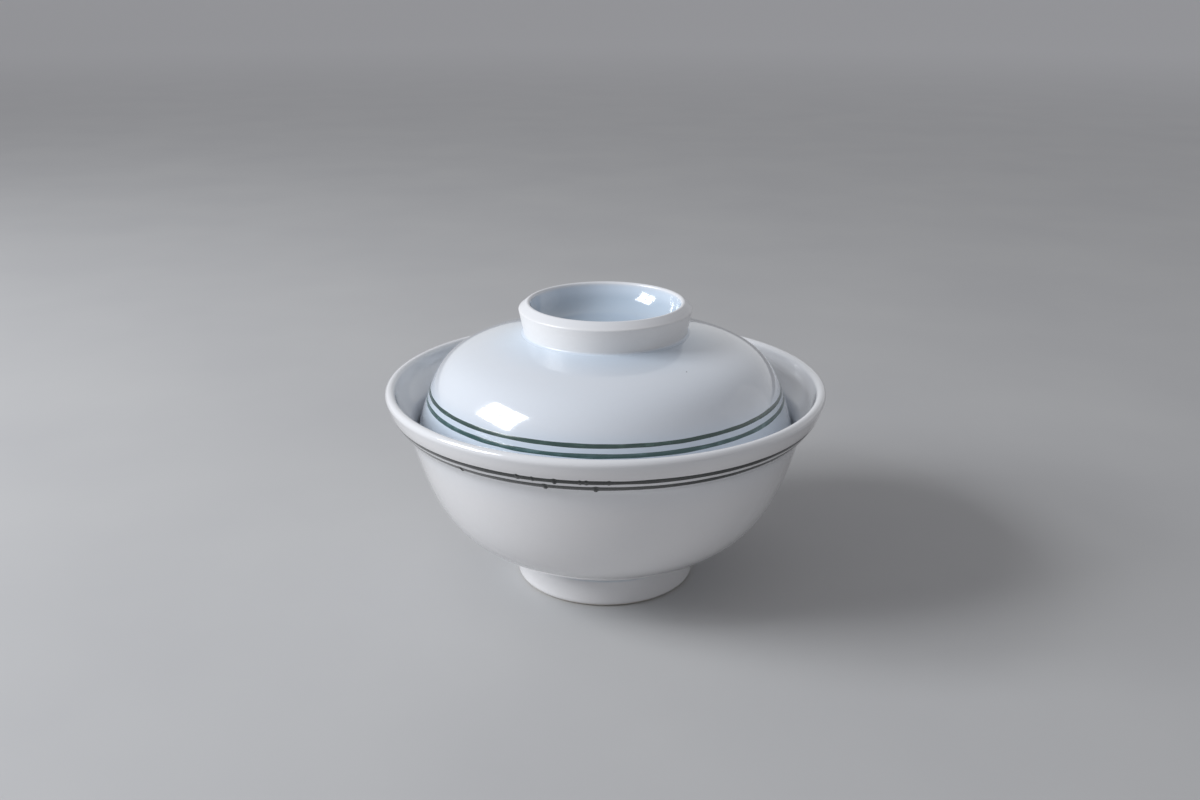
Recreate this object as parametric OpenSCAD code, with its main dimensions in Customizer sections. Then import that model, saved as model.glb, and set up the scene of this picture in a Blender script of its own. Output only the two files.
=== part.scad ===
// Donburi bowl with lid: a deep porcelain bowl on a turned foot ring, with an everted collar that
// carries two colour bands, and a domed lid that drops inside the mouth and has a ring-shaped knob.
// The origin is the centre of the foot's contact face, +Z is up and is the axis of both pieces.

/* [Bowl lip and collar] */
// Outer diameter at the lip's widest line
lip_d = 150; // [138:1:165]
// Height of the lip's top above the table
lip_h = 71.3; // [68:0.1:78]
// Thickness of the rounded lip
lip_t = 3.3; // [2.6:0.1:4]
// Lean of the collar under the lip, degrees from vertical
lip_lean = 17; // [10:1:24]
// Height of the collar, from the neck to the lip's top
collar_h = 16.3; // [14:0.1:19]
// How far the lip stands out from the neck
collar_out = 7.95; // [6.5:0.05:9.5]
// How far the middle of the bend stands out from the neck
bend_out = 2.85; // [2:0.05:3.6]
// Height of the middle of the bend above the neck
bend_up = 5; // [4:0.1:6]
// Lean of the wall at the middle of the bend, degrees from vertical
bend_lean = 42; // [34:1:48]

/* [Bowl wall and floor] */
// Thickness of the wall at the neck, where the lid's skirt sits
neck_t = 2.8; // [2.2:0.1:3.4]
// Lean of the wall at the neck, degrees from vertical
neck_lean = 14.8; // [10:0.2:20]
// Rise of the underside where it leaves the foot, degrees from level
underside_rise = 25; // [18:1:32]
// Height of the inner floor's centre above the table
floor_h = 12; // [11:0.1:14]

/* [Foot ring] */
// Outer diameter of the foot at the table
foot_d = 63; // [56:0.5:70]
// Outer diameter of the foot where the underside begins
foot_neck_d = 61.4; // [54:0.5:66]
// Height of the foot's outer wall
foot_h = 10; // [9:0.1:12]
// Thickness of the foot at the table
foot_t = 5; // [4.2:0.1:6.5]
// Depth of the recess inside the foot
recess_h = 7; // [5:0.1:7.6]
// How far the recess's wall draws in from the table to the ceiling
recess_draft = 1; // [0:0.1:2]
// Rounding of the foot's outer edge
foot_round = 1.7; // [0.8:0.1:2.2]
// Rounding of the foot's inner edge
foot_in_round = 1.2; // [0.6:0.1:1.8]
// Rounding in the corner between foot and underside
foot_fillet = 1.2; // [0.6:0.1:2]

/* [Lid skirt and seat] */
// Gap between the skirt's edge and the bowl's inner wall
seat_gap = 0.3; // [0.2:0.05:0.6]
// Height of the skirt edge's centre above the bowl's neck
seat_up = 2.1; // [1.5:0.1:3.5]
// Thickness of the skirt
skirt_t = 2.6; // [2:0.1:3.4]
// Lean of the skirt at its edge, degrees from vertical, inwards going up
skirt_lean = 15; // [8:1:20]
// How far the waist is drawn in from the skirt's edge
waist_in = 3.85; // [2.8:0.05:4.8]
// Height of the waist above the skirt's edge
waist_up = 11.6; // [10:0.1:13]
// Lean of the lid's wall at the waist, degrees from vertical
waist_lean = 20; // [14:0.5:26]

/* [Lid dome] */
// Height of the dome, from the waist to the foot of the knob
dome_h = 19.6; // [17:0.1:24]
// Slope of the dome at the foot of the knob, degrees from level
dome_slope = 16; // [10:1:22]
// Thickness of the lid's wall at the waist
waist_t = 2.9; // [2.4:0.1:3.6]
// Thickness of the dome at its centre
crown_t = 4.4; // [3.4:0.1:5]

/* [Knob ring] */
// Outer diameter of the knob's wall where it meets the dome
knob_base_d = 55.2; // [50:0.2:58]
// Outer diameter at the knob's widest line
knob_d = 58.8; // [56:0.2:66]
// Height of the widest line above the foot of the knob
knob_wall_h = 8.3; // [6.5:0.1:10]
// How far the ridge on top of the knob stands in from the widest line
bevel_in = 3.6; // [2.6:0.1:5]
// Height of the bevel, from the widest line to the ridge
bevel_h = 2.9; // [1.8:0.1:4]
// Thickness of the knob's wall at its foot
knob_t = 4; // [3.2:0.1:5]
// How far the edge of the floor inside the knob lies in from the turn
knob_floor_in = 2.6; // [1.6:0.1:3.6]
// Height of the turn between the floor and the wall inside the knob
knob_turn_h = 2.6; // [1.8:0.1:3.4]
// Length of the small slope where the knob's wall runs out on the dome
knob_toe = 1; // [0.6:0.1:1.6]
// Rounding where the knob's wall meets the dome
knob_fillet = 0.8; // [0.4:0.1:1.2]
// Rounding of the knob's widest line
knob_round = 0.7; // [0.4:0.1:1.1]
// Rounding of the ridge
ridge_round = 0.9; // [0.5:0.1:1.2]
// Rounding of the turn inside the knob
knob_turn_round = 2.4; // [1:0.1:2.8]

/* [Colour bands] */
// Thickness of every colour band
band_t = 0.35; // [0.2:0.05:0.6]
// Height of the bowl's lower band above the neck, to its middle
bowl_low_up = 6.1; // [5.7:0.1:7]
// Height of the bowl's upper band above the neck, to its middle
bowl_high_up = 8.8; // [8.2:0.1:10.5]
// Breadth of the bowl's lower band, measured upright
bowl_low_w = 1.2; // [0.8:0.05:1.4]
// Breadth of the bowl's upper band, measured upright
bowl_high_w = 1.3; // [0.8:0.05:1.6]
// Distance of the lid's lower band below the waist, to its middle
lid_low_down = 1.7; // [1.2:0.1:2.6]
// Distance of the lid's upper band above the waist, to its middle
lid_high_up = 1.1; // [0.9:0.1:2.4]
// Breadth of both bands on the lid, measured upright
lid_band_w = 1.25; // [0.8:0.05:1.6]

/* [Hidden] */
$fn = 96;
// Steps on a long curve, a short curve and a rounded edge
long_n = 22;
short_n = 6;
round_n = 6;
// Two points closer than this are one point
same_point = 0.001;
// Handle lengths of the curves, as shares of the distance between their ends
belly_shares = [0.432, 0.523];
floor_shares = [0.515, 0.412];
bend_shares = [0.6, 0.28];
collar_shares = [0.52, 0.3];
skirt_shares = [0.4, 0.4];
dome_shares = [0.443, 0.444];
crown_shares = [0.3, 0.5];

// Points of the bowl's outer wall, from the foot to the lip
neck = [lip_d / 2 - collar_out, lip_h - collar_h];
bend = neck + [bend_out, bend_up];
lip_centre = [lip_d / 2 - lip_t / 2, lip_h - lip_t / 2];
lip_out = lip_centre + turned(-lip_lean) * lip_t / 2;
foot_neck = [foot_neck_d / 2, foot_h];
foot_side = along([foot_d / 2, 0], foot_neck, recess_h / foot_h);
foot_in_r = foot_d / 2 - foot_t;

// The bowl's outer curves, and the curve of its inner wall from the floor's centre to the neck
belly_c = curve(foot_neck, underside_rise, neck, 90 - neck_lean, belly_shares);
bend_c = curve(neck, 90 - neck_lean, bend, 90 - bend_lean, bend_shares);
collar_c = curve(bend, 90 - bend_lean, lip_out, 90 - lip_lean, collar_shares);
neck_in = neck + turned(180 - neck_lean) * neck_t;
inside_c = curve([0, floor_h], 0, neck_in, 90 - neck_lean, floor_shares);

// The lid's seat: the skirt's rounded edge lies one gap off the inner wall above the neck
seat_h = neck[1] + seat_up;
seat_wall_r = neck_in[0] + (seat_h - neck_in[1]) * tan(neck_lean);
edge_centre = [seat_wall_r - (skirt_t / 2 + seat_gap) / cos(neck_lean), seat_h];
skirt_out = edge_centre + turned(skirt_lean) * skirt_t / 2;
waist = skirt_out + [-waist_in, waist_up];
knob_corner = [knob_base_d / 2, waist[1] + dome_h];
knob_toe_point = knob_corner + turned(-dome_slope) * knob_toe;
knob_plane = knob_toe_point[1];

// The lid's outer curves, and the curve of its inner wall from the waist to the centre
skirt_c = curve(skirt_out, 90 + skirt_lean, waist, 90 + waist_lean, skirt_shares);
dome_c = curve(waist, 90 + waist_lean, knob_toe_point, 180 - dome_slope, dome_shares);
waist_inner = waist + turned(180 + waist_lean) * waist_t;
crown_c = curve(waist_inner, 90 + waist_lean, [0, knob_plane - crown_t], 180, crown_shares);

// Where each band begins and ends on its curve
bowl_low_span = span(collar_c, neck[1] + bowl_low_up, bowl_low_w);
bowl_high_span = span(collar_c, neck[1] + bowl_high_up, bowl_high_w);
lid_low_span = span(skirt_c, waist[1] - lid_low_down, lid_band_w);
lid_high_span = span(dome_c, waist[1] + lid_high_up, lid_band_w);

// A unit vector at an angle from the radial direction
function turned(a) = [cos(a), sin(a)];
// A point at a share of the way from p to q
function along(p, q, share) = p + (q - p) * share;
function unit(v) = v / norm(v);

// A cubic curve that leaves p at angle a and arrives at q at angle b
function curve(p, a, q, b, shares) =
    let (d = norm(q - p))
    [p, p + turned(a) * d * shares[0], q - turned(b) * d * shares[1], q];
function at(c, t) =
    pow(1 - t, 3) * c[0] + 3 * pow(1 - t, 2) * t * c[1] + 3 * (1 - t) * t * t * c[2] + pow(t, 3) * c[3];
function heading(c, t) =
    unit(pow(1 - t, 2) * (c[1] - c[0]) + 2 * (1 - t) * t * (c[2] - c[1]) + t * t * (c[3] - c[2]));
// A point of the curve moved to its left, which is into the wall on a curve that climbs outside
function inset(c, t, depth) = let (h = heading(c, t)) at(c, t) + [-h[1], h[0]] * depth;
// Points of a curve from t0 to t1, inset by a depth that runs from d0 to d1
function run(c, t0, t1, n, d0 = 0, d1 = 0) =
    [for (i = [0:n]) inset(c, along(t0, t1, i / n), along(d0, d1, i / n))];
// The curve's parameter at height h, on a curve that climbs all the way
function t_at(c, h, lo = 0, hi = 1, steps = 30) =
    let (mid = (lo + hi) / 2)
    steps == 0 ? mid
    : at(c, mid)[1] < h ? t_at(c, h, mid, hi, steps - 1)
    : t_at(c, h, lo, mid, steps - 1);
function span(c, h, w) = [t_at(c, h - w / 2), t_at(c, h + w / 2)];

// Points of an arc about a centre, from angle a to angle b
function arc(centre, r, a, b, n) = [for (i = [0:n]) centre + turned(along(a, b, i / n)) * r];
// Points that round the corner p, q, s with radius r
function rounded(p, q, s, r, n) =
    let (
        u = unit(p - q),
        v = unit(s - q),
        half = acos(u * v) / 2,
        centre = q + unit(u + v) * r / sin(half),
        first = q + u * r / tan(half) - centre,
        last = q + v * r / tan(half) - centre,
        a = atan2(first[1], first[0]),
        sweep = (atan2(last[1], last[0]) - a + 540) % 360 - 180
    )
    arc(centre, r, a, a + sweep, n);
function backwards(points) = [for (i = [len(points) - 1:-1:0]) points[i]];
function without_repeats(points) =
    [for (i = [0:len(points) - 1]) if (i == 0 || norm(points[i] - points[i - 1]) > same_point) points[i]];

// A solid of revolution about the axis
module turned_solid(points) {
    rotate_extrude() polygon(without_repeats(points));
}

// A colour band that fills its groove flush with the wall
module band(c, where) {
    outer = run(c, where[0], where[1], short_n);
    inner = run(c, where[0], where[1], short_n, band_t, band_t);
    turned_solid(concat(outer, backwards(inner)));
}

// The bowl's collar outside, from the bend to the lip, with a groove for each band
function collar_points() = concat(
    run(collar_c, 0, bowl_low_span[0], short_n),
    run(collar_c, bowl_low_span[0], bowl_low_span[1], short_n, band_t, band_t),
    run(collar_c, bowl_low_span[1], bowl_high_span[0], short_n),
    run(collar_c, bowl_high_span[0], bowl_high_span[1], short_n, band_t, band_t),
    run(collar_c, bowl_high_span[1], 1, short_n));

// The bowl's wall inside, from the lip down to the floor's centre
function bowl_inside_points() = concat(
    backwards(run(collar_c, 0, 1, long_n / 2, along(neck_t, lip_t, bend_up / collar_h), lip_t)),
    backwards(run(bend_c, 0, 1, short_n, neck_t, along(neck_t, lip_t, bend_up / collar_h))),
    backwards(run(inside_c, 0, 1, long_n)));

module bowl_body() {
    belly = run(belly_c, 0, 1, long_n);
    color([0.93, 0.94, 0.95])
        turned_solid(concat(
            [[0, recess_h], foot_side],
            rounded(foot_side, foot_neck, belly[1], foot_fillet, round_n),
            [for (i = [1:long_n]) belly[i]],
            run(bend_c, 0, 1, short_n),
            collar_points(),
            arc(lip_centre, lip_t / 2, -lip_lean, 180 - lip_lean, round_n * 2),
            bowl_inside_points()));
}

// The foot ring, from the table to the recess's ceiling
module bowl_foot_ring() {
    out_corner = [foot_d / 2, 0];
    in_corner = [foot_in_r, 0];
    in_top = [foot_in_r - recess_draft, recess_h];
    color([0.91, 0.91, 0.9])
        turned_solid(concat(
            [in_top],
            rounded(in_top, in_corner, out_corner, foot_in_round, round_n),
            rounded(in_corner, out_corner, foot_side, foot_round, round_n),
            [foot_side]));
}

module bowl_band_lower() {
    color([0.13, 0.16, 0.15]) band(collar_c, bowl_low_span);
}

module bowl_band_upper() {
    color([0.13, 0.16, 0.15]) band(collar_c, bowl_high_span);
}

// The lid outside, from the skirt's edge to the foot of the knob, with a groove for each band
function lid_outside_points() = concat(
    run(skirt_c, 0, lid_low_span[0], long_n / 2),
    run(skirt_c, lid_low_span[0], lid_low_span[1], short_n, band_t, band_t),
    run(skirt_c, lid_low_span[1], 1, 1),
    run(dome_c, 0, lid_high_span[0], 1),
    run(dome_c, lid_high_span[0], lid_high_span[1], short_n, band_t, band_t),
    run(dome_c, lid_high_span[1], 1, long_n));

module lid_dome() {
    color([0.9, 0.93, 0.96])
        turned_solid(concat(
            lid_outside_points(),
            [[0, knob_plane]],
            backwards(run(crown_c, 0, 1, long_n)),
            backwards(run(skirt_c, 0, 1, long_n / 2, skirt_t, waist_t)),
            arc(edge_centre, skirt_t / 2, skirt_lean - 180, skirt_lean, round_n * 2)));
}

// The knob: a low ring with a wall that leans out, a bevel up to the ridge and a hollow inside
module lid_knob_ring() {
    widest = [knob_d / 2, knob_corner[1] + knob_wall_h];
    ridge = widest + [-bevel_in, bevel_h];
    turn = [knob_base_d / 2 - knob_t, knob_plane + knob_turn_h];
    foot_of_wall = [turn[0] - knob_floor_in, knob_plane];
    color([0.91, 0.93, 0.96])
        turned_solid(concat(
            [foot_of_wall, knob_toe_point],
            rounded(knob_toe_point, knob_corner, widest, knob_fillet, round_n),
            rounded(knob_corner, widest, ridge, knob_round, round_n),
            rounded(widest, ridge, turn, ridge_round, round_n),
            rounded(ridge, turn, foot_of_wall, knob_turn_round, round_n)));
}

module lid_band_lower() {
    color([0.24, 0.31, 0.35]) band(skirt_c, lid_low_span);
}

module lid_band_upper() {
    color([0.24, 0.3, 0.3]) band(dome_c, lid_high_span);
}

bowl_body();
bowl_foot_ring();
bowl_band_lower();
bowl_band_upper();
lid_dome();
lid_knob_ring();
lid_band_lower();
lid_band_upper();
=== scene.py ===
"""Donburi bowl with lid: glazed porcelain, thrown on the wheel, with brushed colour bands.

Every surface is a profile in the (radius, height) plane carried round the axis. Lengths are in
metres, angles in degrees, and all places are in the frame's own axes: +Z up, origin under the foot.
"""

import bpy
import numpy as np
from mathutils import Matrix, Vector


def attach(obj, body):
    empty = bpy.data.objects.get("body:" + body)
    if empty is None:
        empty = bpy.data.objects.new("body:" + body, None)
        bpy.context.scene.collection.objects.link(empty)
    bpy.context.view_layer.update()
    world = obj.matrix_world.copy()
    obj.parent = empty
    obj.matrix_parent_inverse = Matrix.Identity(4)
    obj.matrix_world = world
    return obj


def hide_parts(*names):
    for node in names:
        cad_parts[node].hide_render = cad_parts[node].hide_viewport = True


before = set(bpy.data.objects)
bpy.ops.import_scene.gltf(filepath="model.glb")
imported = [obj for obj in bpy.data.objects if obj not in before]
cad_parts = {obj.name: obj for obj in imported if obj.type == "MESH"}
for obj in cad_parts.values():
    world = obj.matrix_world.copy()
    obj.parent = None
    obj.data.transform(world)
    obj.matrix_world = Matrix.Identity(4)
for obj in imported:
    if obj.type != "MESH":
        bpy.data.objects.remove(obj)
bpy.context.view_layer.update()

# The bowl's sizes: lip, collar, neck, wall and floor
LIP_R = 0.075
LIP_H = 0.0713
LIP_T = 0.0033
LIP_LEAN = 17.0
COLLAR_H = 0.0163
COLLAR_OUT = 0.00795
BEND_OUT = 0.00285
BEND_UP = 0.005
BEND_LEAN = 42.0
NECK_T = 0.0028
NECK_LEAN = 14.8
UNDERSIDE_RISE = 25.0
FLOOR_H = 0.012

# The foot ring's sizes, and the height up to which its clay is left bare
FOOT_R = 0.0315
FOOT_NECK_R = 0.0307
FOOT_H = 0.010
FOOT_T = 0.005
RECESS_H = 0.007
RECESS_DRAFT = 0.001
FOOT_ROUND = 0.0017
FOOT_IN_ROUND = 0.0012
FOOT_FILLET = 0.0012
BARE_H = 0.0007
BARE_WAVE = 0.00012

# The lid's sizes: seat, skirt, waist, dome and crown
SEAT_GAP = 0.0003
SEAT_UP = 0.0021
SKIRT_T = 0.0026
SKIRT_LEAN = 15.0
WAIST_IN = 0.00385
WAIST_UP = 0.0116
WAIST_LEAN = 20.0
DOME_H = 0.0196
DOME_SLOPE = 16.0
WAIST_T = 0.0029
CROWN_T = 0.0044

# The knob's sizes, and the depth of glaze pooled on its floor
KNOB_BASE_R = 0.0276
KNOB_R = 0.0294
KNOB_WALL_H = 0.0083
RIDGE_R = 0.0258
BEVEL_H = 0.0029
KNOB_T = 0.0022
KNOB_TURN_H = 0.0026
KNOB_TOE = 0.001
KNOB_FILLET = 0.0008
KNOB_ROUND = 0.0007
RIDGE_ROUND = 0.0009
GLAZE_FILL = 0.0004

# The colour bands: middle height, breadth, how far they stand out of the glaze and are set in it
BOWL_LOW_UP, BOWL_LOW_W = 0.0061, 0.0012
BOWL_HIGH_UP, BOWL_HIGH_W = 0.0088, 0.0013
LID_LOW_DOWN, LID_HIGH_UP, LID_BAND_W = 0.0017, 0.0011, 0.00125
BAND_PROUD = 0.00004
BAND_SET = 0.0002
# How far each fired band has crept over the breadth it was brushed
BOWL_LOW_CREEP, BOWL_HIGH_CREEP, LID_LOW_CREEP, LID_HIGH_CREEP = 1.32, 1.18, 1.02, 0.96
# How much of its breadth a band wanders and its edges wobble, how much its swell varies, and the
# share of the swell that is left at the edges
BAND_WANDER, EDGE_WOBBLE, SWELL_WOBBLE, EDGE_SWELL = 0.05, 0.14, 0.35, 0.3
# Beads of enamel on the bowl's bands: angle round the axis, share of the half breadth, radius and
# height
HIGH_BEADS = [
    (-111.2, 0.5, 0.0005, 0.00024), (-107.4, -0.2, 0.00035, 0.0002),
    (-102.1, -0.7, 0.00065, 0.0003), (-96.1, 0.1, 0.00035, 0.0002),
    (-94.6, 0.2, 0.0004, 0.00022), (-89.4, 0.0, 0.00035, 0.0002)]
LOW_BEADS = [
    (-128.4, -0.3, 0.00055, 0.00026), (-104.8, -0.8, 0.0007, 0.0003),
    (-92.5, -0.8, 0.0007, 0.0003)]
# How far a bead pushes the band's edges out, as a share of its half breadth
BEAD_PUSH = 0.35
# A single dark speck burnt into the lid's glaze
SPECK = (0.02534, -0.03376, 0.08489)
SPECK_R = 0.00028

# How finely the surfaces are divided: round the axis, across a band, along a curve, round a corner
# and along a straight stretch
AROUND = 320
BAND_AROUND = 2304
BAND_ACROSS = 8
LONG_N = 48
SHORT_N = 14
CORNER_N = 10
FLAT_N = 10
LOOKUP_N = 4000
SAME_POINT = 1e-6
# Edges that turn by more than this are left crisp: the hidden seams where two pieces meet
SHARP_FROM = 35.0

# Handle lengths of the curves, as shares of the distance between their ends
BELLY_SHARES = (0.432, 0.523)
FLOOR_SHARES = (0.515, 0.412)
BEND_SHARES = (0.6, 0.28)
COLLAR_SHARES = (0.52, 0.3)
SKIRT_SHARES = (0.4, 0.4)
DOME_SHARES = (0.443, 0.444)
CROWN_SHARES = (0.3, 0.5)
DISH_SHARES = (0.4, 0.62)

# The camera, as worked out from the ellipses of lip, foot, knob and bands
CAMERA_AT = (-0.00186, -0.3921, 0.2029)
CAMERA_PITCH = 19.57
FOCAL_PX = 1200.0
PHOTO_W = 1200.0
SENSOR_MM = 36.0


# Plane geometry of the profiles
def point(r, z):
    """A place in the profile's plane: radius and height."""
    return np.array([r, z], float)


def turned(angle):
    """Unit vector at an angle from the radial direction."""
    return np.array([np.cos(np.radians(angle)), np.sin(np.radians(angle))])


def curve(p, a, q, b, shares):
    """The four points of a cubic that leaves p at angle a and arrives at q at angle b."""
    d = np.linalg.norm(q - p)
    return np.array([p, p + turned(a) * d * shares[0], q - turned(b) * d * shares[1], q])


def at(c, t):
    """Points of a cubic: its four points weighted by the Bernstein polynomials of t."""
    t = np.asarray(t, float)[..., None]
    return ((1 - t) ** 3 * c[0] + 3 * (1 - t) ** 2 * t * c[1] + 3 * (1 - t) * t ** 2 * c[2]
            + t ** 3 * c[3])


def inward(c, t):
    """Unit normal to the left of travel. It points into the wall where a curve climbs outside."""
    t = np.asarray(t, float)[..., None]
    h = (1 - t) ** 2 * (c[1] - c[0]) + 2 * (1 - t) * t * (c[2] - c[1]) + t ** 2 * (c[3] - c[2])
    h = h / np.linalg.norm(h, axis=-1, keepdims=True)
    return np.stack([-h[..., 1], h[..., 0]], -1)


def run(c, n, depth0=0.0, depth1=0.0):
    """n + 1 points of a cubic, set into the wall by a depth that changes evenly along it."""
    t = np.linspace(0, 1, n + 1)
    return at(c, t) + inward(c, t) * (depth0 + (depth1 - depth0) * t)[:, None]


def t_at(c, height):
    """The parameter at a height, read back from a fine table of a curve that climbs all the way."""
    t = np.linspace(0, 1, LOOKUP_N + 1)
    return float(np.interp(height, at(c, t)[:, 1], t))


def arc(centre, radius, a, b, n):
    """Points of a circle about centre from angle a to angle b."""
    angle = np.radians(np.linspace(a, b, n + 1))
    return centre + radius * np.stack([np.cos(angle), np.sin(angle)], -1)


def rounded(p, q, s, radius):
    """Points of the arc that rounds the corner p, q, s and touches both of its sides. The straight
    stretches beside it leave out the points that it replaces."""
    u, v = (p - q) / np.linalg.norm(p - q), (s - q) / np.linalg.norm(s - q)
    half = np.arccos(u @ v) / 2
    centre = q + (u + v) / np.linalg.norm(u + v) * radius / np.sin(half)
    first, last = q + u * radius / np.tan(half) - centre, q + v * radius / np.tan(half) - centre
    a = np.degrees(np.arctan2(first[1], first[0]))
    sweep = (np.degrees(np.arctan2(last[1], last[0])) - a + 540) % 360 - 180
    return arc(centre, radius, a, a + sweep, CORNER_N)


def straight(p, q, n=FLAT_N):
    """Points from p to q, evenly spaced."""
    return p + (q - p) * np.linspace(0, 1, n + 1)[:, None]


def joined(*stretches):
    """One profile from several stretches, with repeated points taken out."""
    points = np.concatenate([np.atleast_2d(s) for s in stretches])
    keep = np.ones(len(points), bool)
    keep[1:] = np.linalg.norm(np.diff(points, axis=0), axis=1) > SAME_POINT
    return points[keep]


# The bowl's points and curves
neck = point(LIP_R - COLLAR_OUT, LIP_H - COLLAR_H)
bend = neck + point(BEND_OUT, BEND_UP)
lip_centre = point(LIP_R - LIP_T / 2, LIP_H - LIP_T / 2)
lip_out = lip_centre + turned(-LIP_LEAN) * LIP_T / 2
foot_edge = point(FOOT_R, 0)
foot_neck = point(FOOT_NECK_R, FOOT_H)
foot_side = foot_edge + (foot_neck - foot_edge) * RECESS_H / FOOT_H
belly_c = curve(foot_neck, UNDERSIDE_RISE, neck, 90 - NECK_LEAN, BELLY_SHARES)
bend_c = curve(neck, 90 - NECK_LEAN, bend, 90 - BEND_LEAN, BEND_SHARES)
collar_c = curve(bend, 90 - BEND_LEAN, lip_out, 90 - LIP_LEAN, COLLAR_SHARES)
neck_in = neck + turned(180 - NECK_LEAN) * NECK_T
inside_c = curve(point(0, FLOOR_H), 0, neck_in, 90 - NECK_LEAN, FLOOR_SHARES)

# The lid's points and curves, from the seat on the bowl's inner wall up to the knob
seat_h = neck[1] + SEAT_UP
seat_wall_r = neck_in[0] + (seat_h - neck_in[1]) * np.tan(np.radians(NECK_LEAN))
edge_centre = point(seat_wall_r - (SKIRT_T / 2 + SEAT_GAP) / np.cos(np.radians(NECK_LEAN)), seat_h)
skirt_out = edge_centre + turned(SKIRT_LEAN) * SKIRT_T / 2
waist = skirt_out + point(-WAIST_IN, WAIST_UP)
knob_corner = point(KNOB_BASE_R, waist[1] + DOME_H)
knob_toe = knob_corner + turned(-DOME_SLOPE) * KNOB_TOE
skirt_c = curve(skirt_out, 90 + SKIRT_LEAN, waist, 90 + WAIST_LEAN, SKIRT_SHARES)
dome_c = curve(waist, 90 + WAIST_LEAN, knob_toe, 180 - DOME_SLOPE, DOME_SHARES)
waist_inner = waist + turned(180 + WAIST_LEAN) * WAIST_T
crown_c = curve(waist_inner, 90 + WAIST_LEAN, point(0, knob_toe[1] - CROWN_T), 180, CROWN_SHARES)


# Meshes
def make_piece(name, vertices, faces, materials):
    """A smooth mesh object at the origin from an array of vertices and a list of faces."""
    mesh = bpy.data.meshes.new(name)
    mesh.from_pydata(vertices.tolist(), [], faces)
    mesh.polygons.foreach_set("use_smooth", np.ones(len(mesh.polygons), bool))
    mesh.set_sharp_from_angle(angle=np.radians(SHARP_FROM))
    for material in materials:
        mesh.materials.append(material)
    mesh.update()
    piece = bpy.data.objects.new(name, mesh)
    bpy.context.scene.collection.objects.link(piece)
    return piece


def grid_faces(rows, around, closed):
    """Quads of a grid that is closed round the axis, and with closed also along the profile."""
    i = np.arange(rows if closed else rows - 1)[:, None]
    j = np.arange(around)[None]
    up, on = (i + 1) % rows, (j + 1) % around
    quads = np.stack([i * around + j, i * around + on, up * around + on, up * around + j], -1)
    return quads.reshape(-1, 4).tolist()


def revolve(name, profile, materials, closed=False):
    """Surface of revolution: x = r cos a, y = r sin a, z = height, for the profile's points
    (r, height) and even steps of a. An open profile starts and ends on the axis, where one point
    closes it; a closed one joins its last point to its first. The profile climbs on its outer side,
    so faces look out."""
    body = profile if closed else profile[1:-1]
    angle = np.arange(AROUND) * 2 * np.pi / AROUND
    r = body[:, :1]
    z = np.repeat(body[:, 1:], AROUND, 1)
    vertices = np.stack([r * np.cos(angle), r * np.sin(angle), z], -1).reshape(-1, 3)
    faces = grid_faces(len(body), AROUND, closed)
    if not closed:
        ring = np.arange(AROUND)
        after = (ring + 1) % AROUND
        low, high, top = len(vertices), len(vertices) + 1, (len(body) - 1) * AROUND
        vertices = np.concatenate([vertices, [[0, 0, profile[0, 1]], [0, 0, profile[-1, 1]]]])
        faces += np.stack([np.full(AROUND, low), after, ring], -1).tolist()
        faces += np.stack([np.full(AROUND, high), top + ring, top + after], -1).tolist()
    return make_piece(name, vertices, faces, materials)


def uneven(angle, seed, waves=9):
    """A gentle closed wobble in -1..1: a sum of sines with whole numbers of waves and seeded
    phases."""
    rng = np.random.default_rng(seed)
    count = rng.integers(2, 46, waves)[:, None]
    size = rng.uniform(0.4, 1.0, waves)[:, None] / np.sqrt(count)
    phase = rng.uniform(0, 2 * np.pi, waves)[:, None]
    total = (size * np.sin(count * angle + phase)).sum(0)
    return total / np.abs(total).max()


def brushed_band(name, c, height, breadth, creep, material, seed, beads=()):
    """A band laid on by a brush on the turning wheel. On the curve c it runs from lower to upper
    edge with share s in -1..1. Its middle and both edges wobble with the angle, it stands out by
    proud * (1 - s^4) plus a little at the edges and a round bump for each bead, and its back lies
    set in the glaze."""
    angle = np.arange(BAND_AROUND) * 2 * np.pi / BAND_AROUND
    t0, t1 = t_at(c, height - breadth / 2), t_at(c, height + breadth / 2)
    middle = (t0 + t1) / 2 + (t1 - t0) * BAND_WANDER * uneven(angle, seed)
    half = (t1 - t0) / 2 * creep * (1 + EDGE_WOBBLE * uneven(angle, seed + 1))
    share = np.linspace(-1, 1, BAND_ACROSS + 1)[:, None]
    swell = (1 - share ** 4) * (1 + SWELL_WOBBLE * uneven(angle, seed + 2)) + EDGE_SWELL
    swell = BAND_PROUD * swell
    wide = np.zeros_like(swell)
    radius = at(c, (t0 + t1) / 2)[0]
    for bead_angle, bead_share, bead_r, bead_h in beads:
        along = ((angle - np.radians(bead_angle) + np.pi) % (2 * np.pi) - np.pi) * radius
        across = (share - bead_share) * breadth / 2
        inside = 1 - (along ** 2 + across ** 2) / bead_r ** 2
        swell = swell + bead_h * np.sqrt(np.clip(inside, 0, 1))
        wide = wide + BEAD_PUSH * share * np.exp(-(along / bead_r) ** 2)
    t = middle + half * (share + wide)
    front = at(c, t) - inward(c, t) * swell[..., None]
    back = at(c, t[::-1]) + inward(c, t[::-1]) * BAND_SET
    section = np.concatenate([front, back])
    r, z = section[..., 0], section[..., 1]
    vertices = np.stack([r * np.cos(angle), r * np.sin(angle), z], -1).reshape(-1, 3)
    return make_piece(name, vertices, grid_faces(len(section), BAND_AROUND, True), [material])


def face_centres(piece):
    """The middle of every face, one row each."""
    centres = np.empty(len(piece.data.polygons) * 3)
    piece.data.polygons.foreach_get("center", centres)
    return centres.reshape(-1, 3)


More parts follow.
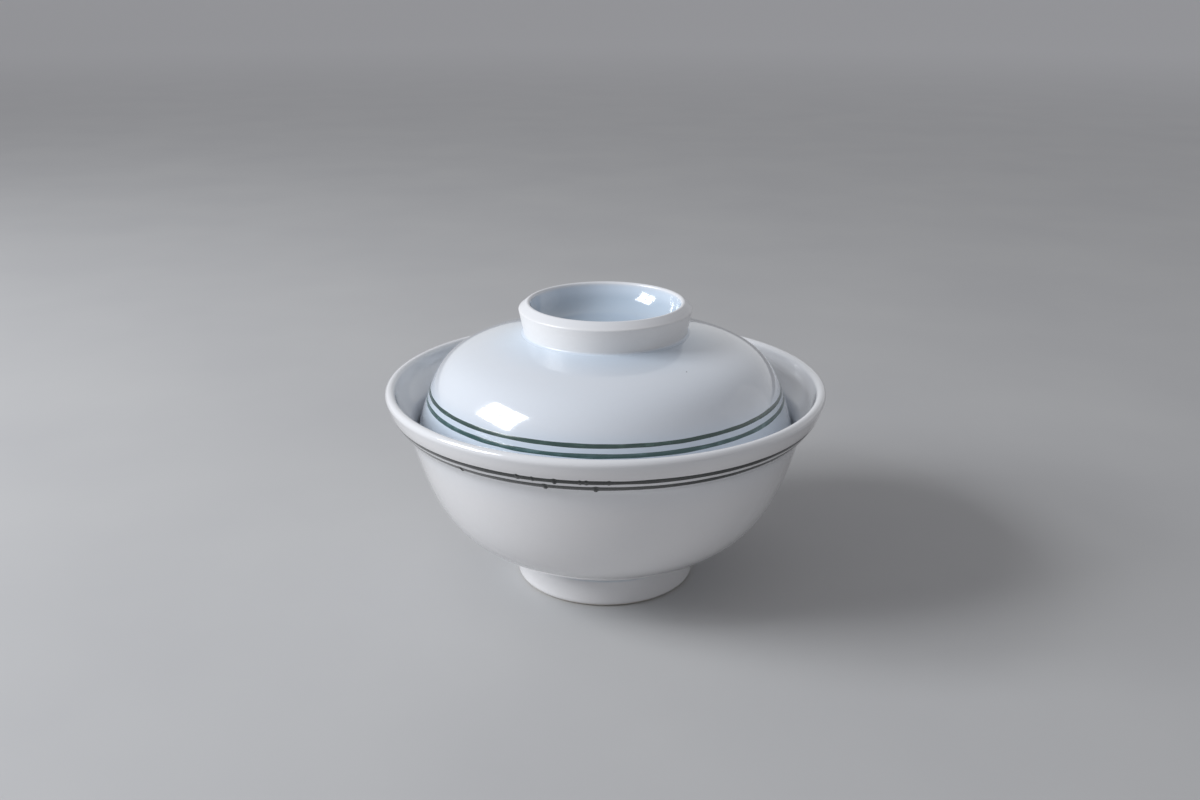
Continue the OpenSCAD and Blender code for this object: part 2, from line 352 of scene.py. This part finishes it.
# Materials: how many times a metre each pattern repeats, how deep its relief is, and its tint
CLOUDS, CLOUD_TINT = 38, (0.66, 0.74, 0.82)
MOTTLE, MOTTLE_TINT = 900, (0.62, 0.6, 0.57)
PINS, PIN_TINT = 95.0, (0.2, 0.17, 0.13)
SPECK_TINT = (0.07, 0.07, 0.06)
SHEEN_PATCHES = 60
PEEL, PEEL_DEPTH = 420, 0.000008
BRUSH_STREAKS = (60, 60, 3600)
ENAMEL_PATCHES = 150
ENAMEL_GRAIN, ENAMEL_GRAIN_DEPTH = 2600, 0.00003
CLAY_WEAR, CLAY_TINT, WORN_CLAY_TINT = 260, (0.74, 0.69, 0.61), (0.47, 0.44, 0.4)
CLAY_GRAIN, CLAY_GRAIN_DEPTH = 3800, 0.00006
GLASS_IOR = 1.5


def shader(name):
    """A new node material, its node tree and its Principled shader."""
    material = bpy.data.materials.new(name)
    material.use_nodes = True
    return material, material.node_tree, material.node_tree.nodes["Principled BSDF"]


def add(tree, kind, link=(), **values):
    """A node with its settings and unlinked inputs set by name, fed by link = {input: output}."""
    node = tree.nodes.new(kind)
    for key, value in values.items():
        if hasattr(node, key):
            setattr(node, key, value)
        else:
            node.inputs[key.replace("_", " ")].default_value = value
    for key, output in dict(link).items():
        tree.links.new(output, node.inputs[key])
    return node


def place(tree, scale=(1, 1, 1)):
    """Object coordinates, stretched along the axes."""
    coordinates = add(tree, "ShaderNodeTexCoord")
    mapping = add(tree, "ShaderNodeMapping", {"Vector": coordinates.outputs["Object"]})
    mapping.inputs["Scale"].default_value = scale
    return mapping.outputs["Vector"]


def noise(tree, vector, scale, detail=2.0, roughness=0.5):
    """Fractal noise in 0..1."""
    return add(tree, "ShaderNodeTexNoise", {"Vector": vector}, Scale=scale, Detail=detail,
               Roughness=roughness).outputs["Fac"]


def spread(tree, value, low, high, to_low, to_high, smooth=False):
    """Maps a value from one range to another, and stops at the ends."""
    node = add(tree, "ShaderNodeMapRange", {"Value": value}, clamp=True)
    node.interpolation_type = "SMOOTHSTEP" if smooth else "LINEAR"
    ends = {"From Min": low, "From Max": high, "To Min": to_low, "To Max": to_high}
    for key, number in ends.items():
        node.inputs[key].default_value = number
    return node.outputs["Result"]


def blend(tree, share, a, b):
    """Mixes two colours, each a tuple or another node's output."""
    node = add(tree, "ShaderNodeMix", data_type="RGBA")
    tree.links.new(share, node.inputs["Factor"])
    for socket, colour in ((node.inputs[6], a), (node.inputs[7], b)):
        if isinstance(colour, tuple):
            socket.default_value = (*colour, 1)
        else:
            tree.links.new(colour, socket)
    return node.outputs[2]


def relief(tree, height, strength, depth, under=()):
    """The normal of a fine relief of that depth, laid over the normal given by under, if any."""
    bump = add(tree, "ShaderNodeBump", {"Height": height, **dict(under)},
               Strength=strength, Distance=depth)
    return bump.outputs["Normal"]


def by_height(tree, stops, top):
    """Colour that depends on height alone: stops are (height, colour), up to the height top."""
    coordinates = add(tree, "ShaderNodeTexCoord")
    split = add(tree, "ShaderNodeSeparateXYZ", {"Vector": coordinates.outputs["Object"]})
    level = spread(tree, split.outputs["Z"], 0, top, 0, 1)
    ramp = add(tree, "ShaderNodeValToRGB", {"Fac": level})
    ramp.color_ramp.interpolation = "EASE"
    elements = ramp.color_ramp.elements
    while len(elements) < len(stops):
        elements.new(0.5)
    for element, (height, colour) in zip(elements, stops):
        element.position = height / top
        element.color = (*colour, 1)
    return ramp.outputs["Color"]


def porcelain_glaze(name, stops, top, speck=None, coat=0.8, coat_rough=0.025, gloss=(0.1, 0.17),
                    ring_depth=0.00003, rings_per_metre=240):
    """Clear glaze over white porcelain. Its tint follows the height: the glaze pools where the wall
    turns, and the pooled blues also carry painted shade in the hollows and under overhangs; faint
    clouds and fine mottle vary it, a rare pin-sized speck is burnt in, and the surface keeps faint
    throwing rings and a slight orange peel. The coat is the glaze's outer gloss, and gloss is the
    range of roughness under it."""
    material, tree, body = shader(name)
    at_object = place(tree)
    rings = place(tree, (6, 6, rings_per_metre))
    colour = by_height(tree, stops, top)
    cloud = spread(tree, noise(tree, at_object, CLOUDS, 3), 0.3, 0.7, 0, 0.06)
    colour = blend(tree, cloud, colour, CLOUD_TINT)
    mottle = spread(tree, noise(tree, at_object, MOTTLE, 2), 0.35, 0.75, 0, 0.035)
    colour = blend(tree, mottle, colour, MOTTLE_TINT)
    cells = add(tree, "ShaderNodeTexVoronoi", {"Vector": at_object}, Scale=PINS)
    pin = spread(tree, cells.outputs["Distance"], 0.008, 0.014, 1, 0, True)
    chosen = add(tree, "ShaderNodeSeparateColor", {"Color": cells.outputs["Color"]})
    rare = spread(tree, chosen.outputs["Red"], 0.86, 0.87, 0, 0.55)
    pin = add(tree, "ShaderNodeMath", {0: pin, 1: rare}, operation="MULTIPLY").outputs[0]
    colour = blend(tree, pin, colour, PIN_TINT)
    if speck is not None:
        away = add(tree, "ShaderNodeVectorMath", {0: at_object}, operation="DISTANCE")
        away.inputs[1].default_value = speck
        burnt = spread(tree, away.outputs["Value"], SPECK_R * 0.6, SPECK_R, 0.9, 0, True)
        colour = blend(tree, burnt, colour, SPECK_TINT)
    tree.links.new(colour, body.inputs["Base Color"])
    sheen = spread(tree, noise(tree, at_object, SHEEN_PATCHES, 4), 0.3, 0.7, *gloss)
    tree.links.new(sheen, body.inputs["Roughness"])
    peel = relief(tree, noise(tree, at_object, PEEL, 1), 0.5, PEEL_DEPTH)
    thrown = relief(tree, noise(tree, rings, 1, 1), 0.5, ring_depth, {"Normal": peel})
    tree.links.new(thrown, body.inputs["Normal"])
    tree.links.new(thrown, body.inputs["Coat Normal"])
    body.inputs["IOR"].default_value = GLASS_IOR
    body.inputs["Coat Weight"].default_value = coat
    body.inputs["Coat Roughness"].default_value = coat_rough
    return material


def brushed_enamel(name, thick, thin, edge_low, edge_high):
    """Brushed ceramic colour: streaks that run with the brush round the axis, thicker and thinner,
    a slightly uneven gloss and a fine raised grain."""
    material, tree, body = shader(name)
    at_object = place(tree)
    with_brush = place(tree, BRUSH_STREAKS)
    streak = noise(tree, with_brush, 1, 3, 0.6)
    patch = noise(tree, at_object, ENAMEL_PATCHES, 3)
    both = add(tree, "ShaderNodeMath", {0: streak, 1: patch}, operation="ADD").outputs[0]
    share = spread(tree, both, edge_low, edge_high, 0, 1, True)
    tree.links.new(blend(tree, share, thick, thin), body.inputs["Base Color"])
    gloss = spread(tree, patch, 0.3, 0.7, 0.14, 0.3)
    tree.links.new(gloss, body.inputs["Roughness"])
    grain = relief(tree, noise(tree, at_object, ENAMEL_GRAIN, 2), 0.4, ENAMEL_GRAIN_DEPTH)
    tree.links.new(grain, body.inputs["Normal"])
    body.inputs["Coat Weight"].default_value = 0.5
    body.inputs["Coat Roughness"].default_value = 0.05
    return material


def bare_porcelain(name):
    """Unglazed clay on the foot's contact ring: matt cream with a fine grain and grey wear."""
    material, tree, body = shader(name)
    at_object = place(tree)
    wear = spread(tree, noise(tree, at_object, CLAY_WEAR, 4, 0.65), 0.45, 0.72, 0, 0.5, True)
    colour = blend(tree, wear, CLAY_TINT, WORN_CLAY_TINT)
    tree.links.new(colour, body.inputs["Base Color"])
    tree.links.new(spread(tree, wear, 0, 0.5, 0.78, 0.9), body.inputs["Roughness"])
    grain = relief(tree, noise(tree, at_object, CLAY_GRAIN, 3, 0.7), 0.7, CLAY_GRAIN_DEPTH)
    tree.links.new(grain, body.inputs["Normal"])
    return material


# The finishes: glaze colours from thin to pooled and painted shade, and where they lie by height
# The blues are partly glaze pooled where the wall turns and partly painted shade
WHITE, COOL, FOOT_POOL_AND_SHADE_BLUE = (0.82, 0.81, 0.815), (0.77, 0.775, 0.795), (0.66, 0.71, 0.76)
LID_WHITE, LID_POOL_AND_SHADE_BLUE, DEEP_POOL_AND_SHADE_BLUE = (0.71, 0.75, 0.81), (0.6, 0.685, 0.785), (0.44, 0.53, 0.63)
KNOB_WHITE = (0.88, 0.87, 0.865)
toe_h = knob_toe[1]
# Painted shade: the dark blue just above the foot joint darkens the belly's underside; some is
# pooled glaze
bowl_glaze = porcelain_glaze("bowl clear glaze", [
    (0, WHITE), (FOOT_H - 0.0014, WHITE), (FOOT_H + 0.0002, DEEP_POOL_AND_SHADE_BLUE), (FOOT_H + 0.0012, FOOT_POOL_AND_SHADE_BLUE),
    (FOOT_H + 0.006, WHITE), (neck[1] - 0.008, WHITE), (bend[1] - 0.001, COOL),
    (bend[1] + 0.006, WHITE), (LIP_H, COOL)], LIP_H)
# Painted shade: the blue on the skirt under the bowl's lip and at the knob's foot; some is pooled
# glaze
lid_glaze = porcelain_glaze("lid pale blue glaze", [
    (seat_h, LID_POOL_AND_SHADE_BLUE), (waist[1] - 0.002, LID_POOL_AND_SHADE_BLUE), (waist[1] + 0.006, LID_WHITE),
    (toe_h - 0.004, LID_WHITE), (toe_h, LID_POOL_AND_SHADE_BLUE)], toe_h, SPECK)
# Painted shade: the blue at the knob's foot, where it meets the dome; some is pooled glaze
knob_glaze = porcelain_glaze("knob thin glaze over throwing rings", [
    (toe_h, LID_POOL_AND_SHADE_BLUE), (toe_h + 0.0012, KNOB_WHITE), (toe_h + 0.0075, KNOB_WHITE),
    (toe_h + 0.0095, COOL)], toe_h + 0.0095,
    coat=0.3, coat_rough=0.2, gloss=(0.3, 0.42), ring_depth=0.00009, rings_per_metre=1100)
# Painted shade: the deep blue down in the knob's hollow darkens it; some is pooled glaze
hollow_glaze = porcelain_glaze("blue glaze pooled in the knob with painted shade", [
    (toe_h, DEEP_POOL_AND_SHADE_BLUE), (toe_h + 0.005, DEEP_POOL_AND_SHADE_BLUE), (toe_h + 0.009, LID_POOL_AND_SHADE_BLUE),
    (toe_h + 0.0108, COOL)], toe_h + 0.0108)
bowl_green = brushed_enamel(
    "bowl black green enamel", (0.009, 0.012, 0.01), (0.03, 0.04, 0.033), 1.05, 1.35)
lid_blue_green = brushed_enamel(
    "lid blue green enamel", (0.033, 0.086, 0.084), (0.11, 0.197, 0.207), 0.95, 1.3)
lid_green = brushed_enamel(
    "lid grey green enamel", (0.016, 0.051, 0.044), (0.064, 0.124, 0.104), 0.98, 1.3)
bare_clay = bare_porcelain("bare fired clay")


# The bowl
def make_bowl():
    """The bowl's wall: from the recess's ceiling over belly, bend, collar and lip to the floor
    inside."""
    belly = run(belly_c, LONG_N * 2)
    share = BEND_UP / COLLAR_H
    mid_t = NECK_T + (LIP_T - NECK_T) * share
    profile = joined(
        straight(point(0, RECESS_H), foot_side, 2 * FLAT_N),
        rounded(foot_side, foot_neck, belly[3], FOOT_FILLET),
        belly[3:],
        run(bend_c, SHORT_N),
        run(collar_c, SHORT_N * 2),
        arc(lip_centre, LIP_T / 2, -LIP_LEAN, 180 - LIP_LEAN, SHORT_N),
        run(collar_c, SHORT_N * 2, mid_t, LIP_T)[::-1],
        run(bend_c, SHORT_N, NECK_T, mid_t)[::-1],
        run(inside_c, LONG_N)[::-1])
    piece = revolve("bowl_wall", profile, [bowl_glaze])
    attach(piece, "bowl")
    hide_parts("bowl_body")


def make_foot():
    """The foot ring: inner wall, rounded edges, bare contact ring, outer wall and joint on top."""
    in_edge = point(FOOT_R - FOOT_T, 0)
    in_top = point(FOOT_R - FOOT_T - RECESS_DRAFT, RECESS_H)
    profile = joined(
        straight(in_top, in_edge)[:-2],
        rounded(in_top, in_edge, foot_edge, FOOT_IN_ROUND),
        rounded(in_edge, foot_edge, foot_side, FOOT_ROUND),
        straight(foot_edge, foot_side)[4:],
        straight(foot_side, in_top, 4)[1:-1])
    piece = revolve("bowl_foot", profile, [bowl_glaze, bare_clay], closed=True)
    middle = face_centres(piece)
    angle = np.arctan2(middle[:, 1], middle[:, 0])
    wiped = BARE_H + BARE_WAVE * np.sin(3 * angle + 1.0) * np.cos(7 * angle)
    piece.data.polygons.foreach_set("material_index", (middle[:, 2] < wiped).astype(int))
    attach(piece, "bowl")
    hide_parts("bowl_foot_ring")


# The lid
def make_lid():
    """The lid's wall: from the crown inside down the skirt, round its edge and up over the dome."""
    profile = joined(
        run(crown_c, LONG_N)[::-1],
        run(skirt_c, SHORT_N * 2, SKIRT_T, WAIST_T)[::-1],
        arc(edge_centre, SKIRT_T / 2, SKIRT_LEAN - 180, SKIRT_LEAN, SHORT_N),
        run(skirt_c, SHORT_N * 2),
        run(dome_c, LONG_N * 2),
        straight(knob_toe, point(0, toe_h)))
    piece = revolve("lid_dome_and_skirt", profile, [lid_glaze])
    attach(piece, "lid")
    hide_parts("lid_dome")


def make_knob():
    """The knob: a wall that leans out, a bevel up to the ridge, and a dished hollow inside."""
    widest = point(KNOB_R, knob_corner[1] + KNOB_WALL_H)
    ridge = point(RIDGE_R, widest[1] + BEVEL_H)
    turn = point(RIDGE_R - KNOB_T, toe_h + KNOB_TURN_H)
    crest = rounded(widest, ridge, turn, RIDGE_ROUND)
    down = np.degrees(np.arctan2(*(turn - ridge)[::-1]))
    dish = curve(crest[-1], down, point(0, toe_h + GLAZE_FILL), 180, DISH_SHARES)
    profile = joined(
        straight(point(0, toe_h), knob_toe),
        rounded(knob_toe, knob_corner, widest, KNOB_FILLET),
        straight(knob_corner, widest, 12)[3:-2],
        rounded(knob_corner, widest, ridge, KNOB_ROUND),
        crest,
        run(dish, LONG_N))
    piece = revolve("lid_knob", profile, [knob_glaze, hollow_glaze])
    middle = face_centres(piece)
    within = np.hypot(middle[:, 0], middle[:, 1]) < crest[-1][0]
    hollow = within & (middle[:, 2] > toe_h + GLAZE_FILL / 2)
    piece.data.polygons.foreach_set("material_index", hollow.astype(int))
    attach(piece, "lid")
    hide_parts("lid_knob_ring")


def make_bands():
    """The four colour bands, each with its own wobble; the bowl's carry small beads of enamel."""
    bands = (
        ("bowl_line_lower", collar_c, neck[1] + BOWL_LOW_UP, BOWL_LOW_W, BOWL_LOW_CREEP,
         bowl_green, 11, LOW_BEADS, "bowl", "bowl_band_lower", "bowl_enamel"),
        ("bowl_line_upper", collar_c, neck[1] + BOWL_HIGH_UP, BOWL_HIGH_W, BOWL_HIGH_CREEP,
         bowl_green, 23, HIGH_BEADS, "bowl", "bowl_band_upper", "bowl_enamel"),
        ("lid_line_lower", skirt_c, waist[1] - LID_LOW_DOWN, LID_BAND_W, LID_LOW_CREEP,
         lid_blue_green, 37, (), "lid", "lid_band_lower", "lid_lower_enamel"),
        ("lid_line_upper", dome_c, waist[1] + LID_HIGH_UP, LID_BAND_W, LID_HIGH_CREEP,
         lid_green, 41, (), "lid", "lid_band_upper", "lid_upper_enamel"))
    for name, c, height, breadth, creep, material, seed, beads, body, node, slot in bands:
        piece = brushed_band(name, c, height, breadth, creep, material, seed, beads)
        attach(piece, body)
        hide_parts(node)


# The studio
# The floor lies a hair under the foot, so that two faces never share one plane, and it grows paler
# between two distances from the bowl
FLOOR_SIZE, FLOOR_DROP, FLOOR_NEAR, FLOOR_FAR = 60.0, 0.00005, 0.5, 3.5
FLOOR_TINTS, FAR_TINT, FLOOR_MOTTLE = ((0.5, 0.5, 0.505), (0.53, 0.53, 0.53)), (0.8, 0.8, 0.81), 9
# The window and the side light: distance, direction and height angle, size, power and colour
WINDOW_AWAY, WINDOW_AZIMUTH, WINDOW_RISE = 1.2, -167.0, 32.0
PANE_W, PANE_H, PANE_GAP = 0.27, 0.23, 0.035
WINDOW_POWER, WINDOW_COLOUR = 13.0, (0.94, 0.965, 1.0)
SIDE_AWAY, SIDE_AZIMUTH, SIDE_RISE = 1.3, 15.0, 14.0
SIDE_SIZE, SIDE_POWER, SIDE_COLOUR = 0.9, 0.4, (1.0, 0.97, 0.94)
# The even light, and the pale background that is seen and mirrored
EVEN_STRENGTH, EVEN_COLOUR, BACKGROUND = 0.33, (0.95, 0.955, 1.0, 1), (0.66, 0.67, 0.69, 1)
AIM = (0.0, 0.0, 0.06)


def spot(away, azimuth, rise):
    """A place at a distance from the aim, in a direction given by azimuth and rise."""
    a, e = np.radians(azimuth), np.radians(rise)
    towards = np.array([np.cos(e) * np.cos(a), np.cos(e) * np.sin(a), np.sin(e)])
    return np.array(AIM) + away * towards


def soft_light(name, where, look_at, width, height, power, colour):
    """A rectangular lamp that faces look_at, with its height upright."""
    lamp = bpy.data.lights.new(name, "AREA")
    lamp.shape, lamp.size, lamp.size_y = "RECTANGLE", width, height
    lamp.energy, lamp.color = power, colour
    holder = bpy.data.objects.new(name, lamp)
    holder.location = where
    holder.rotation_euler = (Vector(look_at) - Vector(where)).to_track_quat("-Z", "Y").to_euler()
    bpy.context.scene.collection.objects.link(holder)


def make_floor():
    """A wide pale floor with the faintest mottle, paler far away, where less light falls on it."""
    material, tree, body = shader("pale floor")
    tint = spread(tree, noise(tree, place(tree), FLOOR_MOTTLE, 3), 0.3, 0.7, 0, 1)
    near = blend(tree, tint, *FLOOR_TINTS)
    away = add(tree, "ShaderNodeVectorMath", {0: place(tree)}, operation="LENGTH").outputs["Value"]
    far = spread(tree, away, FLOOR_NEAR, FLOOR_FAR, 0, 1, True)
    tree.links.new(blend(tree, far, near, FAR_TINT), body.inputs["Base Color"])
    body.inputs["Roughness"].default_value = 0.85
    half = FLOOR_SIZE / 2
    plan = [(-half, -half), (half, -half), (half, half), (-half, half)]
    level = np.array([(x, y, -FLOOR_DROP) for x, y in plan])
    floor = make_piece("floor", level, [(0, 1, 2, 3)], [material])


def make_light():
    """A four-pane window to the left, a weak warm light low on the right, and even light."""
    centre = spot(WINDOW_AWAY, WINDOW_AZIMUTH, WINDOW_RISE)
    to_bowl = np.array(AIM) - centre
    a = np.radians(WINDOW_AZIMUTH)
    across = np.array([-np.sin(a), np.cos(a), 0])
    upright = np.cross(across, to_bowl / WINDOW_AWAY)
    upright = upright * np.sign(upright[2])
    for column in (-0.5, 0.5):
        beside = centre + across * column * (PANE_W + PANE_GAP)
        for row in (-0.5, 0.5):
            where = beside + upright * row * (PANE_H + PANE_GAP)
            soft_light(f"window pane {column} {row}", where, where + to_bowl,
                       PANE_W, PANE_H, WINDOW_POWER / 4, WINDOW_COLOUR)
    soft_light("low side light", spot(SIDE_AWAY, SIDE_AZIMUTH, SIDE_RISE), AIM,
               SIDE_SIZE, SIDE_SIZE, SIDE_POWER, SIDE_COLOUR)
    world = bpy.data.worlds.new("studio")
    world.use_nodes = True
    tree = world.node_tree
    tree.nodes.clear()
    path = add(tree, "ShaderNodeLightPath")
    seen = path.outputs["Is Camera Ray"]
    for kind in ("Is Glossy Ray", "Is Transmission Ray"):
        either = add(tree, "ShaderNodeMath", {0: seen, 1: path.outputs[kind]}, operation="MAXIMUM")
        seen = either.outputs[0]
    lit = add(tree, "ShaderNodeBackground", Strength=EVEN_STRENGTH)
    lit.inputs["Color"].default_value = EVEN_COLOUR
    shown = add(tree, "ShaderNodeBackground", Strength=1.0)
    shown.inputs["Color"].default_value = BACKGROUND
    mixed = add(tree, "ShaderNodeMixShader", {0: seen, 1: lit.outputs[0], 2: shown.outputs[0]})
    add(tree, "ShaderNodeOutputWorld", {"Surface": mixed.outputs[0]})
    bpy.context.scene.world = world


def make_camera():
    """The photograph's view: an upright camera that looks down on the bowl by its pitch."""
    lens = bpy.data.cameras.new("camera")
    lens.sensor_width = SENSOR_MM
    lens.lens = FOCAL_PX / PHOTO_W * SENSOR_MM
    camera = bpy.data.objects.new("camera", lens)
    camera.location = CAMERA_AT
    camera.rotation_euler = (np.radians(90 - CAMERA_PITCH), 0, 0)
    bpy.context.scene.collection.objects.link(camera)
    bpy.context.scene.camera = camera


make_bowl()
make_foot()
make_lid()
make_knob()
make_bands()
make_floor()
make_light()
make_camera()
bpy.context.scene.view_settings.view_transform = "Standard"
